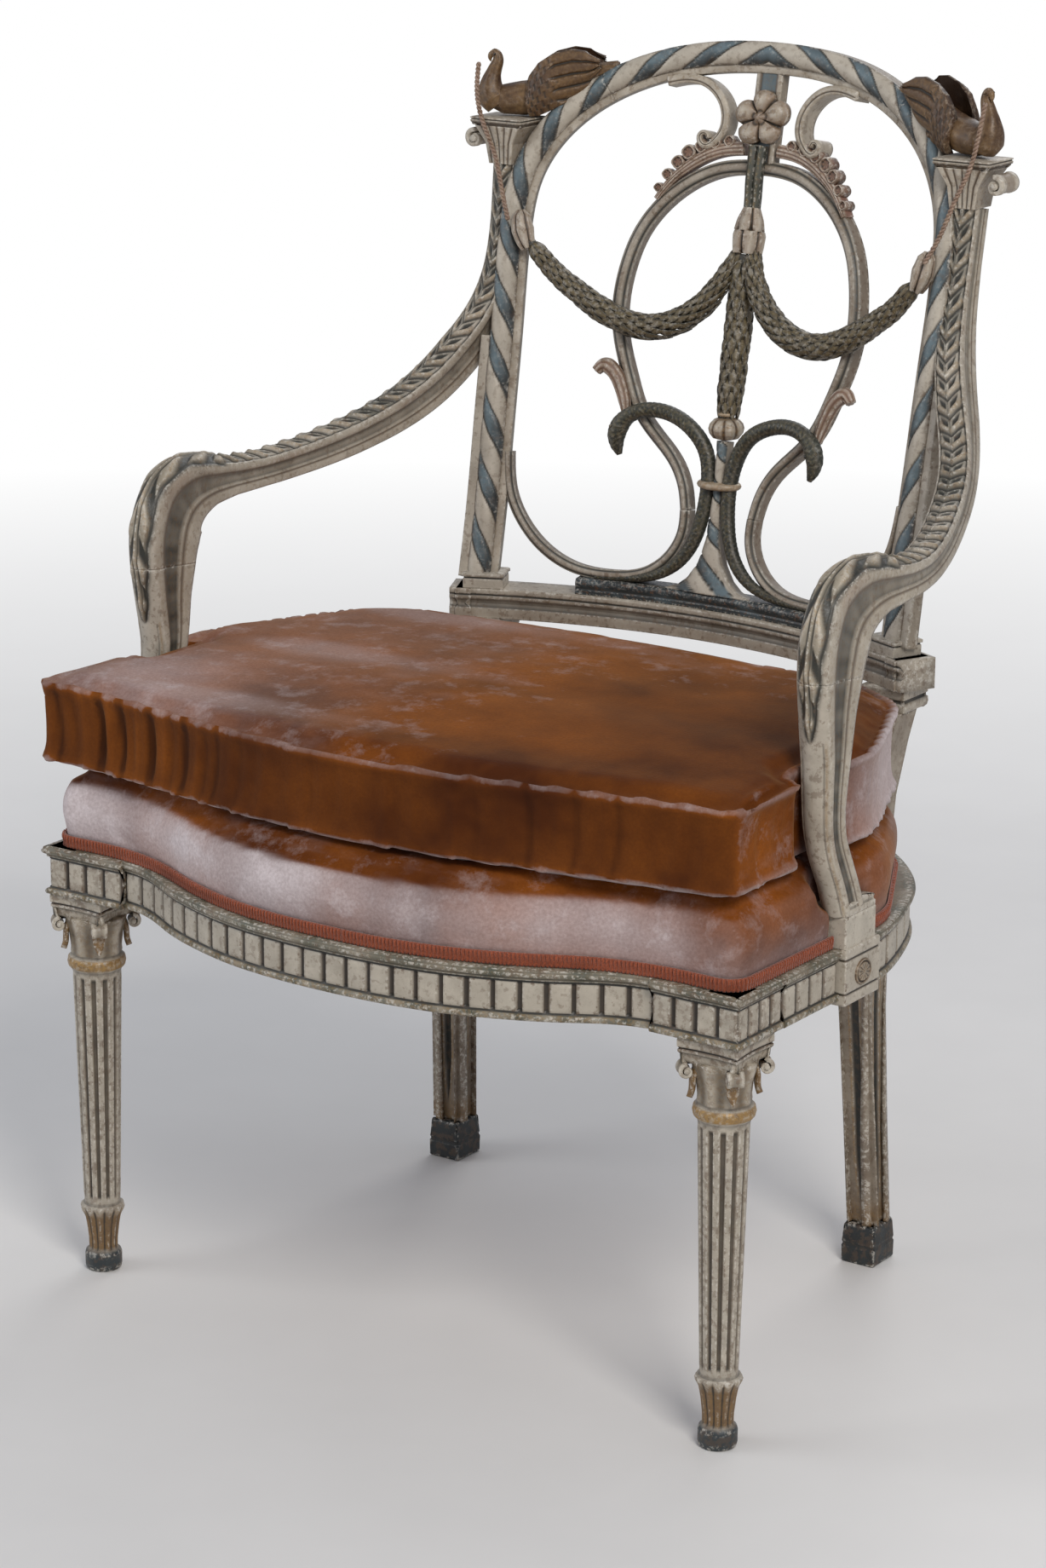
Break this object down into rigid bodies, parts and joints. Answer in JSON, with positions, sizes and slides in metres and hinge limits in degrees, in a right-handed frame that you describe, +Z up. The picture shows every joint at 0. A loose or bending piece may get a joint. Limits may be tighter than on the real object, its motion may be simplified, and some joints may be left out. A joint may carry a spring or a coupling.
{
  "type": "carved armchair with a loose seat cushion",
  "caption": "Carved and painted armchair with an openwork lyre back, birds on the arms, tapered fluted legs and a loose rust velvet cushion.",
  "frame": {"origin": "centre of the bounding box at floor level", "axes": "+Z up, +X across the chair to the right as seen from the front, +Y from the front of the seat to the back"},
  "size_m": [0.6578, 0.6244, 0.9526],
  "materials": {
    "cream_paint": "worn cream paint on carved wood, brown in the hollows",
    "gilt_carving": "rubbed gilding over brown on carved wood",
    "green_bronzed_carving": "dark green bronzed paint with gold rubbed on the high points",
    "rose_carving": "pinkish brown paint on carved wood",
    "blue_paint": "dark blue marbled paint",
    "bare_wood": "bare beech",
    "steel": "plain steel screws",
    "webbing_cloth": "woven jute webbing",
    "rust_velvet": "rust silk velvet with a pale sheen",
    "orange_braid": "ribbed rust braid"
  },
  "bodies": {
    "frame": {"front_leg_right": "cream_paint", "front_leg_left": "cream_paint", "rear_leg_right": "cream_paint", "rear_leg_left": "cream_paint", "side_rail_right": "cream_paint", "side_rail_left": "cream_paint", "arm_block_patera_right": "gilt_carving", "arm_block_patera_left": "gilt_carving", "stile_right": "cream_paint", "stile_left": "cream_paint", "oval_side_right": "cream_paint", "oval_side_left": "cream_paint", "lower_loop_right": "cream_paint", "lower_loop_left": "cream_paint", "snake_right": "green_bronzed_carving", "snake_left": "green_bronzed_carving", "swag_right": "green_bronzed_carving", "swag_left": "green_bronzed_carving", "garland_knob_right": "gilt_carving", "garland_knob_left": "gilt_carving", "c_scroll_right": "cream_paint", "c_scroll_left": "cream_paint", "shell_leaf_right": "rose_carving", "shell_leaf_left": "rose_carving", "leaf_bud_right": "rose_carving", "leaf_bud_left": "rose_carving", "arm_right": "cream_paint", "arm_left": "cream_paint", "arm_support_right": "cream_paint", "arm_support_left": "cream_paint", "capital_right": "cream_paint", "capital_left": "cream_paint", "bird_right": "gilt_carving", "bird_left": "gilt_carving", "beak_cord_right": "gilt_carving", "beak_cord_left": "gilt_carving", "front_rail": "cream_paint", "back_rail": "cream_paint", "cross_rail": "cream_paint", "shoe_block": "blue_paint", "crest_arch": "cream_paint", "frame_dowels": "bare_wood", "centre_spindle": "cream_paint", "spindle_band": "gilt_carving", "neck_ball": "gilt_carving", "laurel_drop": "green_bronzed_carving", "bell_husk": "gilt_carving", "ribbon": "rose_carving", "rosette": "rose_carving", "top_bracket": "cream_paint", "corner_braces": "bare_wood", "frame_screws": "steel", "arm_dowels": "bare_wood", "webbing": "webbing_cloth", "seat_pad": "rust_velvet", "gimp_braid": "orange_braid"},
    "cushion": {"loose_cushion": "rust_velvet"}
  },
  "joints": [
    {"name": "cushion_lift", "type": "slide", "parent": "frame", "child": "cushion", "axis": [0, 0, 1], "range_m": [0, 0.03]}
  ]
}
